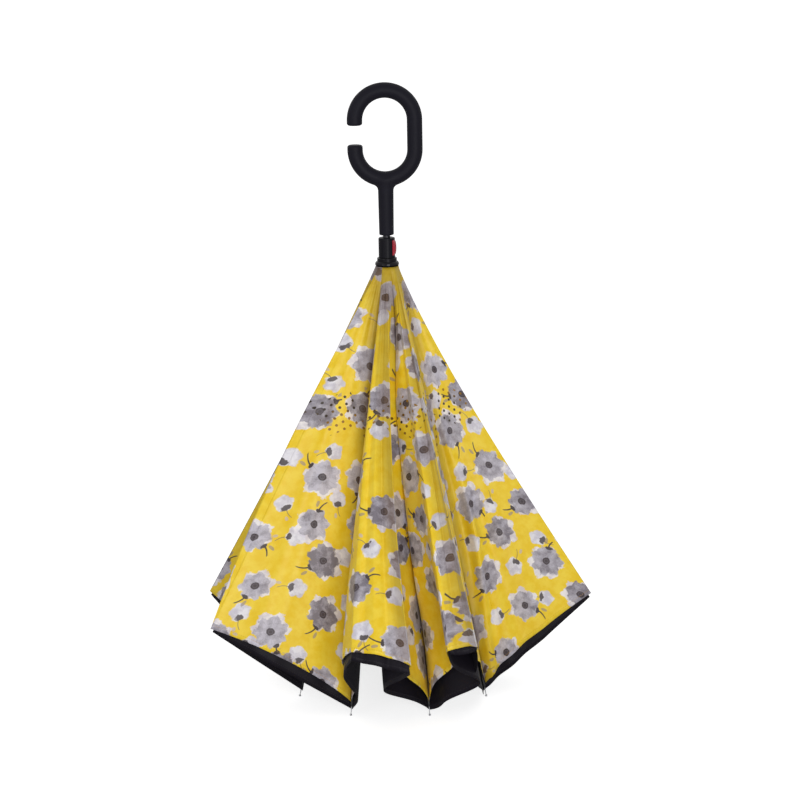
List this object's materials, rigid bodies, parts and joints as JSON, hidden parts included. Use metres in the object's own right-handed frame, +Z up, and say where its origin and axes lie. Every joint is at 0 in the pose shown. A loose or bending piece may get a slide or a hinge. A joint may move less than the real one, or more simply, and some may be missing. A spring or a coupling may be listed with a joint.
{
  "type": "inverted umbrella",
  "caption": "Reverse-folding umbrella with a C-shaped handle, standing half folded on its rib tips; a runner slides down the shaft to open the ribs, struts and layered canopy.",
  "frame": {"origin": "on the shaft's line, at the height of the surface that the rib tips stand on", "axes": "+Z up the shaft towards the handle; the C-shaped ring lies in the XZ plane, its mouth towards -X and the release button towards +X, turned 25 degrees to the front"},
  "size_m": [0.5057, 0.5072, 0.7803],
  "materials": {
    "soft_black": "soft-touch matt black",
    "gloss_black": "moulded gloss black",
    "red_plastic": "gloss deep red",
    "steel": "bright drawn steel",
    "glass_fibre": "drawn black glass fibre rod",
    "yellow_cloth": "satin pongee weave, yellow with a print of grey flowers",
    "lining_cloth": "satin pongee weave, black"
  },
  "bodies": {
    "frame": {"handle": "soft_black", "shaft_tube": "steel", "top_notch": "gloss_black", "notch_ring_wire": "steel", "top_cap": "gloss_black"},
    "runner": {"runner_body": "soft_black", "runner_collar": "gloss_black", "runner_ring_wire": "steel", "button_spring": "steel"},
    "button": {"release_button": "red_plastic"},
    "rib_1": {"rib_1": "glass_fibre"},
    "rib_2": {"rib_2": "glass_fibre"},
    "rib_3": {"rib_3": "glass_fibre"},
    "rib_4": {"rib_4": "glass_fibre"},
    "rib_5": {"rib_5": "glass_fibre"},
    "rib_6": {"rib_6": "glass_fibre"},
    "rib_7": {"rib_7": "glass_fibre"},
    "rib_8": {"rib_8": "glass_fibre"},
    "strut_1": {"strut_1": "steel"},
    "strut_2": {"strut_2": "steel"},
    "strut_3": {"strut_3": "steel"},
    "strut_4": {"strut_4": "steel"},
    "strut_5": {"strut_5": "steel"},
    "strut_6": {"strut_6": "steel"},
    "strut_7": {"strut_7": "steel"},
    "strut_8": {"strut_8": "steel"},
    "canopy_1_left": {"canopy_1_left": "yellow_cloth"},
    "canopy_1_right": {"canopy_1_right": "yellow_cloth"},
    "canopy_2_left": {"canopy_2_left": "yellow_cloth"},
    "canopy_2_right": {"canopy_2_right": "yellow_cloth"},
    "canopy_2_front": {"canopy_2_front": "yellow_cloth"},
    "canopy_3_left": {"canopy_3_left": "yellow_cloth"},
    "canopy_3_right": {"canopy_3_right": "yellow_cloth"},
    "canopy_3_front": {"canopy_3_front": "yellow_cloth"},
    "canopy_4_left": {"canopy_4_left": "yellow_cloth"},
    "canopy_4_right": {"canopy_4_right": "yellow_cloth"},
    "canopy_5_left": {"canopy_5_left": "yellow_cloth"},
    "canopy_5_right": {"canopy_5_right": "yellow_cloth"},
    "canopy_6_left": {"canopy_6_left": "yellow_cloth"},
    "canopy_6_right": {"canopy_6_right": "yellow_cloth"},
    "canopy_7_left": {"canopy_7_left": "yellow_cloth"},
    "canopy_7_right": {"canopy_7_right": "yellow_cloth"},
    "canopy_8_left": {"canopy_8_left": "yellow_cloth"},
    "canopy_8_right": {"canopy_8_right": "yellow_cloth"},
    "crown_1_left": {"crown_1_left": "lining_cloth"},
    "crown_1_right": {"crown_1_right": "lining_cloth"},
    "crown_2_left": {"crown_2_left": "lining_cloth"},
    "crown_2_right": {"crown_2_right": "lining_cloth"},
    "crown_3_left": {"crown_3_left": "lining_cloth"},
    "crown_3_right": {"crown_3_right": "lining_cloth"},
    "crown_4_left": {"crown_4_left": "lining_cloth"},
    "crown_4_right": {"crown_4_right": "lining_cloth"},
    "crown_5_left": {"crown_5_left": "lining_cloth"},
    "crown_5_right": {"crown_5_right": "lining_cloth"},
    "crown_6_left": {"crown_6_left": "lining_cloth"},
    "crown_6_right": {"crown_6_right": "lining_cloth"},
    "crown_7_left": {"crown_7_left": "lining_cloth"},
    "crown_7_right": {"crown_7_right": "lining_cloth"},
    "crown_8_left": {"crown_8_left": "lining_cloth"},
    "crown_8_right": {"crown_8_right": "lining_cloth"}
  },
  "joints": [
    {"name": "runner_slide", "type": "slide", "parent": "frame", "child": "runner", "axis": [0, 0, -1], "range_m": [0, 0.42463], "deforming": ["canopy_1_left", "canopy_1_right", "canopy_2_left", "canopy_2_right", "canopy_2_front", "canopy_3_left", "canopy_3_right", "canopy_3_front", "canopy_4_left", "canopy_4_right", "canopy_5_left", "canopy_5_right", "canopy_6_left", "canopy_6_right", "canopy_7_left", "canopy_7_right", "canopy_8_left", "canopy_8_right", "crown_1_left", "crown_1_right", "crown_2_left", "crown_2_right", "crown_3_left", "crown_3_right", "crown_4_left", "crown_4_right", "crown_5_left", "crown_5_right", "crown_6_left", "crown_6_right", "crown_7_left", "crown_7_right", "crown_8_left", "crown_8_right"]},
    {"name": "button_press", "type": "slide", "parent": "runner", "child": "button", "axis": [-0.9063, 0.4226, 0], "range_m": [0, 0.002], "stiffness_N_per_m": 600, "deforming": ["button_spring"]},
    {"name": "rib_1_hinge", "type": "hinge", "parent": "runner", "child": "rib_1", "pos_m": [-0.00895, -0.00317, 0.54697], "axis": [-0.3338, 0.9426, 0], "range_deg": [0, 92.8]},
    {"name": "rib_2_hinge", "type": "hinge", "parent": "runner", "child": "rib_2", "pos_m": [-0.00409, -0.00857, 0.54697], "axis": [-0.9026, 0.4305, 0], "range_deg": [0, 92.8]},
    {"name": "rib_3_hinge", "type": "hinge", "parent": "runner", "child": "rib_3", "pos_m": [0.00317, -0.00895, 0.54697], "axis": [-0.9426, -0.3338, 0], "range_deg": [0, 92.8]},
    {"name": "rib_4_hinge", "type": "hinge", "parent": "runner", "child": "rib_4", "pos_m": [0.00857, -0.00409, 0.54697], "axis": [-0.4305, -0.9026, 0], "range_deg": [0, 92.8]},
    {"name": "rib_5_hinge", "type": "hinge", "parent": "runner", "child": "rib_5", "pos_m": [0.00895, 0.00317, 0.54697], "axis": [0.3338, -0.9426, 0], "range_deg": [0, 92.8]},
    {"name": "rib_6_hinge", "type": "hinge", "parent": "runner", "child": "rib_6", "pos_m": [0.00409, 0.00857, 0.54697], "axis": [0.9026, -0.4305, 0], "range_deg": [0, 92.8]},
    {"name": "rib_7_hinge", "type": "hinge", "parent": "runner", "child": "rib_7", "pos_m": [-0.00317, 0.00895, 0.54697], "axis": [0.9426, 0.3338, 0], "range_deg": [0, 92.8]},
    {"name": "rib_8_hinge", "type": "hinge", "parent": "runner", "child": "rib_8", "pos_m": [-0.00857, 0.00409, 0.54697], "axis": [0.4305, 0.9026, 0], "range_deg": [0, 92.8]},
    {"name": "strut_1_hinge", "type": "hinge", "parent": "frame", "child": "strut_1", "pos_m": [-0.00801, -0.00284, 0.04773], "axis": [0.3338, -0.9426, 0], "range_deg": [0, 48.56]},
    {"name": "strut_2_hinge", "type": "hinge", "parent": "frame", "child": "strut_2", "pos_m": [-0.00366, -0.00767, 0.04773], "axis": [0.9026, -0.4305, 0], "range_deg": [0, 48.56]},
    {"name": "strut_3_hinge", "type": "hinge", "parent": "frame", "child": "strut_3", "pos_m": [0.00284, -0.00801, 0.04773], "axis": [0.9426, 0.3338, 0], "range_deg": [0, 48.56]},
    {"name": "strut_4_hinge", "type": "hinge", "parent": "frame", "child": "strut_4", "pos_m": [0.00767, -0.00366, 0.04773], "axis": [0.4305, 0.9026, 0], "range_deg": [0, 48.56]},
    {"name": "strut_5_hinge", "type": "hinge", "parent": "frame", "child": "strut_5", "pos_m": [0.00801, 0.00284, 0.04773], "axis": [-0.3338, 0.9426, 0], "range_deg": [0, 48.56]},
    {"name": "strut_6_hinge", "type": "hinge", "parent": "frame", "child": "strut_6", "pos_m": [0.00366, 0.00767, 0.04773], "axis": [-0.9026, 0.4305, 0], "range_deg": [0, 48.56]},
    {"name": "strut_7_hinge", "type": "hinge", "parent": "frame", "child": "strut_7", "pos_m": [-0.00284, 0.00801, 0.04773], "axis": [-0.9426, -0.3338, 0], "range_deg": [0, 48.56]},
    {"name": "strut_8_hinge", "type": "hinge", "parent": "frame", "child": "strut_8", "pos_m": [-0.00767, 0.00366, 0.04773], "axis": [-0.4305, -0.9026, 0], "range_deg": [0, 48.56]},
    {"name": "canopy_1_left_fold", "type": "hinge", "parent": "rib_1", "child": "canopy_1_left", "pos_m": [-0.01116, -0.00395, 0.54748], "axis": [0.1628, 0.0894, 0.9826], "range_deg": [0, 63.47]},
    {"name": "canopy_1_right_fold", "type": "hinge", "parent": "rib_2", "child": "canopy_1_right", "pos_m": [-0.0051, -0.01069, 0.54748], "axis": [-0.0925, -0.1946, -0.9765], "range_deg": [0, 34.14]},
    {"name": "canopy_2_left_fold", "type": "hinge", "parent": "rib_2", "child": "canopy_2_left", "pos_m": [-0.0051, -0.01069, 0.54748], "axis": [0.0795, 0.1877, 0.979], "range_deg": [0, 60.82]},
    {"name": "canopy_2_right_fold", "type": "hinge", "parent": "rib_3", "child": "canopy_2_right", "pos_m": [0.00395, -0.01116, 0.54748], "axis": [0.0654, -0.1982, -0.978], "range_deg": [0, 57.55]},
    {"name": "canopy_2_front_fold", "type": "hinge", "parent": "canopy_2_left", "child": "canopy_2_front", "pos_m": [-0.0051, -0.01069, 0.54748], "axis": [-0.0943, -0.4754, -0.8747], "range_deg": [0, 86.77]},
    {"name": "canopy_3_left_fold", "type": "hinge", "parent": "rib_3", "child": "canopy_3_left", "pos_m": [0.00395, -0.01116, 0.54748], "axis": [-0.0777, 0.1935, 0.978], "range_deg": [0, 91.83]},
    {"name": "canopy_3_right_fold", "type": "hinge", "parent": "rib_4", "child": "canopy_3_right", "pos_m": [0.01069, -0.0051, 0.54748], "axis": [0.1897, -0.0918, -0.9775], "range_deg": [0, 20.41]},
    {"name": "canopy_3_front_fold", "type": "hinge", "parent": "canopy_3_left", "child": "canopy_3_front", "pos_m": [0.00395, -0.01116, 0.54748], "axis": [0.1251, -0.4722, -0.8725], "range_deg": [0, 96.59]},
    {"name": "canopy_4_left_fold", "type": "hinge", "parent": "rib_4", "child": "canopy_4_left", "pos_m": [0.01069, -0.0051, 0.54748], "axis": [-0.1666, 0.0335, 0.9855], "range_deg": [0, 49.55]},
    {"name": "canopy_4_right_fold", "type": "hinge", "parent": "rib_5", "child": "canopy_4_right", "pos_m": [0.01116, 0.00395, 0.54748], "axis": [0.1687, 0.0188, -0.9855], "range_deg": [0, 46.45]},
    {"name": "canopy_5_left_fold", "type": "hinge", "parent": "rib_5", "child": "canopy_5_left", "pos_m": [0.01116, 0.00395, 0.54748], "axis": [-0.1777, -0.0771, 0.9811], "range_deg": [0, 43.77]},
    {"name": "canopy_5_right_fold", "type": "hinge", "parent": "rib_6", "child": "canopy_5_right", "pos_m": [0.0051, 0.01069, 0.54748], "axis": [0.1002, 0.1575, -0.9824], "range_deg": [0, 52.65]},
    {"name": "canopy_6_left_fold", "type": "hinge", "parent": "rib_6", "child": "canopy_6_left", "pos_m": [0.0051, 0.01069, 0.54748], "axis": [-0.0248, -0.167, 0.9856], "range_deg": [0, 54.37]},
    {"name": "canopy_6_right_fold", "type": "hinge", "parent": "rib_7", "child": "canopy_6_right", "pos_m": [-0.00395, 0.01116, 0.54748], "axis": [-0.0177, 0.1656, -0.986], "range_deg": [0, 41.89]},
    {"name": "canopy_7_left_fold", "type": "hinge", "parent": "rib_7", "child": "canopy_7_left", "pos_m": [-0.00395, 0.01116, 0.54748], "axis": [0.0762, -0.1786, 0.981], "range_deg": [0, 40.82]},
    {"name": "canopy_7_right_fold", "type": "hinge", "parent": "rib_8", "child": "canopy_7_right", "pos_m": [-0.01069, 0.0051, 0.54748], "axis": [-0.1519, 0.1032, -0.983], "range_deg": [0, 55.69]},
    {"name": "canopy_8_left_fold", "type": "hinge", "parent": "rib_8", "child": "canopy_8_left", "pos_m": [-0.01069, 0.0051, 0.54748], "axis": [0.1662, -0.0128, 0.986], "range_deg": [0, 56.61]},
    {"name": "canopy_8_right_fold", "type": "hinge", "parent": "rib_1", "child": "canopy_8_right", "pos_m": [-0.01116, -0.00395, 0.54748], "axis": [-0.1592, -0.0062, -0.9872], "range_deg": [0, 40.13]},
    {"name": "crown_1_left_fold", "type": "hinge", "parent": "strut_1", "child": "crown_1_left", "pos_m": [-0.0106, -0.00375, 0.04718], "axis": [-0.1074, -0.0846, 0.9906], "range_deg": [0, 70.88]},
    {"name": "crown_1_right_fold", "type": "hinge", "parent": "strut_2", "child": "crown_1_right", "pos_m": [-0.00484, -0.01015, 0.04718], "axis": [0.0851, 0.1039, -0.9909], "range_deg": [0, 56.41]},
    {"name": "crown_2_left_fold", "type": "hinge", "parent": "strut_2", "child": "crown_2_left", "pos_m": [-0.00484, -0.01015, 0.04718], "axis": [-0.0277, -0.1329, 0.9907], "range_deg": [0, 58.15]},
    {"name": "crown_2_right_fold", "type": "hinge", "parent": "strut_3", "child": "crown_2_right", "pos_m": [0.00375, -0.0106, 0.04718], "axis": [-0.005, 0.137, -0.9906], "range_deg": [0, 68.96]},
    {"name": "crown_3_left_fold", "type": "hinge", "parent": "strut_3", "child": "crown_3_left", "pos_m": [0.00375, -0.0106, 0.04718], "axis": [0.0933, -0.1004, 0.9906], "range_deg": [0, 78.42]},
    {"name": "crown_3_right_fold", "type": "hinge", "parent": "strut_4", "child": "crown_3_right", "pos_m": [0.01015, -0.00484, 0.04718], "axis": [-0.0981, 0.0824, -0.9918], "range_deg": [0, 49.96]},
    {"name": "crown_4_left_fold", "type": "hinge", "parent": "strut_4", "child": "crown_4_left", "pos_m": [0.01015, -0.00484, 0.04718], "axis": [0.1366, -0.0278, 0.9902], "range_deg": [0, 64.14]},
    {"name": "crown_4_right_fold", "type": "hinge", "parent": "strut_5", "child": "crown_4_right", "pos_m": [0.0106, 0.00375, 0.04718], "axis": [-0.1386, -0.0146, -0.9902], "range_deg": [0, 62.71]},
    {"name": "crown_5_left_fold", "type": "hinge", "parent": "strut_5", "child": "crown_5_left", "pos_m": [0.0106, 0.00375, 0.04718], "axis": [0.1159, 0.0755, 0.9904], "range_deg": [0, 61.3]},
    {"name": "crown_5_right_fold", "type": "hinge", "parent": "strut_6", "child": "crown_5_right", "pos_m": [0.00484, 0.01015, 0.04718], "axis": [-0.0901, -0.1052, -0.9904], "range_deg": [0, 65.6]},
    {"name": "crown_6_left_fold", "type": "hinge", "parent": "strut_6", "child": "crown_6_left", "pos_m": [0.00484, 0.01015, 0.04718], "axis": [0.0238, 0.1361, 0.9904], "range_deg": [0, 66.34]},
    {"name": "crown_6_right_fold", "type": "hinge", "parent": "strut_7", "child": "crown_6_right", "pos_m": [-0.00375, 0.0106, 0.04718], "axis": [0.0142, -0.137, -0.9905], "range_deg": [0, 60.6]},
    {"name": "crown_7_left_fold", "type": "hinge", "parent": "strut_7", "child": "crown_7_left", "pos_m": [-0.00375, 0.0106, 0.04718], "axis": [-0.075, 0.1149, 0.9905], "range_deg": [0, 59.9]},
    {"name": "crown_7_right_fold", "type": "hinge", "parent": "strut_8", "child": "crown_7_right", "pos_m": [-0.01015, 0.00484, 0.04718], "axis": [0.103, -0.0915, -0.9905], "range_deg": [0, 67.08]},
    {"name": "crown_8_left_fold", "type": "hinge", "parent": "strut_8", "child": "crown_8_left", "pos_m": [-0.01015, 0.00484, 0.04718], "axis": [-0.1359, 0.0222, 0.9905], "range_deg": [0, 67.23]},
    {"name": "crown_8_right_fold", "type": "hinge", "parent": "strut_1", "child": "crown_8_right", "pos_m": [-0.0106, -0.00375, 0.04718], "axis": [0.1364, 0.014, -0.9906], "range_deg": [0, 59.76]}
  ],
  "couplings": [
    {"joint": "rib_1_hinge", "follows": "runner_slide", "rad_per_m": 3.8061},
    {"joint": "rib_2_hinge", "follows": "runner_slide", "rad_per_m": 3.8061},
    {"joint": "rib_3_hinge", "follows": "runner_slide", "rad_per_m": 3.8061},
    {"joint": "rib_4_hinge", "follows": "runner_slide", "rad_per_m": 3.8061},
    {"joint": "rib_5_hinge", "follows": "runner_slide", "rad_per_m": 3.8061},
    {"joint": "rib_6_hinge", "follows": "runner_slide", "rad_per_m": 3.8061},
    {"joint": "rib_7_hinge", "follows": "runner_slide", "rad_per_m": 3.8061},
    {"joint": "rib_8_hinge", "follows": "runner_slide", "rad_per_m": 3.8061},
    {"joint": "strut_1_hinge", "follows": "runner_slide", "rad_per_m": 1.9876},
    {"joint": "strut_2_hinge", "follows": "runner_slide", "rad_per_m": 1.9876},
    {"joint": "strut_3_hinge", "follows": "runner_slide", "rad_per_m": 1.9876},
    {"joint": "strut_4_hinge", "follows": "runner_slide", "rad_per_m": 1.9876},
    {"joint": "strut_5_hinge", "follows": "runner_slide", "rad_per_m": 1.9876},
    {"joint": "strut_6_hinge", "follows": "runner_slide", "rad_per_m": 1.9876},
    {"joint": "strut_7_hinge", "follows": "runner_slide", "rad_per_m": 1.9876},
    {"joint": "strut_8_hinge", "follows": "runner_slide", "rad_per_m": 1.9876},
    {"joint": "canopy_1_left_fold", "follows": "runner_slide", "rad_per_m": 2.6007},
    {"joint": "canopy_1_right_fold", "follows": "runner_slide", "rad_per_m": 1.3951},
    {"joint": "canopy_2_left_fold", "follows": "runner_slide", "rad_per_m": 2.4915},
    {"joint": "canopy_2_right_fold", "follows": "runner_slide", "rad_per_m": 2.3572},
    {"joint": "canopy_2_front_fold", "follows": "runner_slide", "rad_per_m": 3.5581},
    {"joint": "canopy_3_left_fold", "follows": "runner_slide", "rad_per_m": 3.7661},
    {"joint": "canopy_3_right_fold", "follows": "runner_slide", "rad_per_m": 0.83067},
    {"joint": "canopy_3_front_fold", "follows": "runner_slide", "rad_per_m": 3.9619},
    {"joint": "canopy_4_left_fold", "follows": "runner_slide", "rad_per_m": 2.0285},
    {"joint": "canopy_4_right_fold", "follows": "runner_slide", "rad_per_m": 1.9012},
    {"joint": "canopy_5_left_fold", "follows": "runner_slide", "rad_per_m": 1.791},
    {"joint": "canopy_5_right_fold", "follows": "runner_slide", "rad_per_m": 2.1557},
    {"joint": "canopy_6_left_fold", "follows": "runner_slide", "rad_per_m": 2.2265},
    {"joint": "canopy_6_right_fold", "follows": "runner_slide", "rad_per_m": 1.7135},
    {"joint": "canopy_7_left_fold", "follows": "runner_slide", "rad_per_m": 1.6696},
    {"joint": "canopy_7_right_fold", "follows": "runner_slide", "rad_per_m": 2.2806},
    {"joint": "canopy_8_left_fold", "follows": "runner_slide", "rad_per_m": 2.3184},
    {"joint": "canopy_8_right_fold", "follows": "runner_slide", "rad_per_m": 1.6413},
    {"joint": "crown_1_left_fold", "follows": "runner_slide", "rad_per_m": 2.905},
    {"joint": "crown_1_right_fold", "follows": "runner_slide", "rad_per_m": 2.3104},
    {"joint": "crown_2_left_fold", "follows": "runner_slide", "rad_per_m": 2.3819},
    {"joint": "crown_2_right_fold", "follows": "runner_slide", "rad_per_m": 2.8262},
    {"joint": "crown_3_left_fold", "follows": "runner_slide", "rad_per_m": 3.2152},
    {"joint": "crown_3_right_fold", "follows": "runner_slide", "rad_per_m": 2.0452},
    {"joint": "crown_4_left_fold", "follows": "runner_slide", "rad_per_m": 2.6282},
    {"joint": "crown_4_right_fold", "follows": "runner_slide", "rad_per_m": 2.5695},
    {"joint": "crown_5_left_fold", "follows": "runner_slide", "rad_per_m": 2.5115},
    {"joint": "crown_5_right_fold", "follows": "runner_slide", "rad_per_m": 2.688},
    {"joint": "crown_6_left_fold", "follows": "runner_slide", "rad_per_m": 2.7183},
    {"joint": "crown_6_right_fold", "follows": "runner_slide", "rad_per_m": 2.4826},
    {"joint": "crown_7_left_fold", "follows": "runner_slide", "rad_per_m": 2.4538},
    {"joint": "crown_7_right_fold", "follows": "runner_slide", "rad_per_m": 2.7488},
    {"joint": "crown_8_left_fold", "follows": "runner_slide", "rad_per_m": 2.755},
    {"joint": "crown_8_right_fold", "follows": "runner_slide", "rad_per_m": 2.448}
  ]
}
